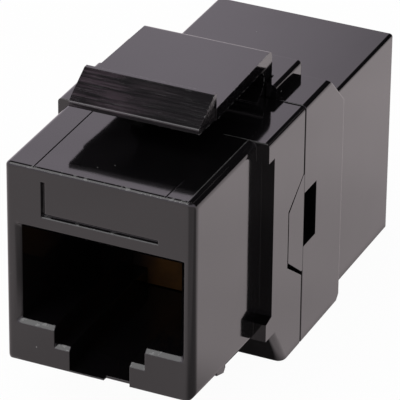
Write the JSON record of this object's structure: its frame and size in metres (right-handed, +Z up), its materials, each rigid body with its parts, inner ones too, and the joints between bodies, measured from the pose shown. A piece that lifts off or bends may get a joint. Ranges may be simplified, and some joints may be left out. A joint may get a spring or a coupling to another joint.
{
  "type": "keystone coupler",
  "caption": "Black snap-in panel coupler with a stepped modular socket at each end, a flange and a sprung latch on top.",
  "frame": {"origin": "middle of the bounding box in X and Y, on the underside of the flange", "axes": "+X to the right seen from the front, +Y from the front face to the rear, +Z up towards the latch"},
  "size_m": [0.0168, 0.0362, 0.0241],
  "materials": {
    "housing_plastic": "polished moulded black",
    "insert_plastic": "satin moulded black",
    "board_laminate": "dark solder mask",
    "contact_gold": "gold plated"
  },
  "bodies": {
    "housing": {"front_housing": "housing_plastic", "rear_housing": "housing_plastic", "front_contact_block": "insert_plastic", "rear_contact_block": "insert_plastic", "circuit_board": "board_laminate", "front_contact_1": "contact_gold", "front_contact_2": "contact_gold", "front_contact_3": "contact_gold", "front_contact_4": "contact_gold", "front_contact_5": "contact_gold", "front_contact_6": "contact_gold", "front_contact_7": "contact_gold", "front_contact_8": "contact_gold", "rear_contact_1": "contact_gold", "rear_contact_2": "contact_gold", "rear_contact_3": "contact_gold", "rear_contact_4": "contact_gold", "rear_contact_5": "contact_gold", "rear_contact_6": "contact_gold", "rear_contact_7": "contact_gold", "rear_contact_8": "contact_gold"},
    "latch": {"latch_arm": "housing_plastic"}
  },
  "joints": [
    {"name": "latch_flex", "type": "hinge", "parent": "housing", "child": "latch", "pos_m": [0, -0.0006, 0.02091], "axis": [1, 0, 0], "range_deg": [0, 9], "stiffness_Nm_per_rad": 0.6}
  ]
}
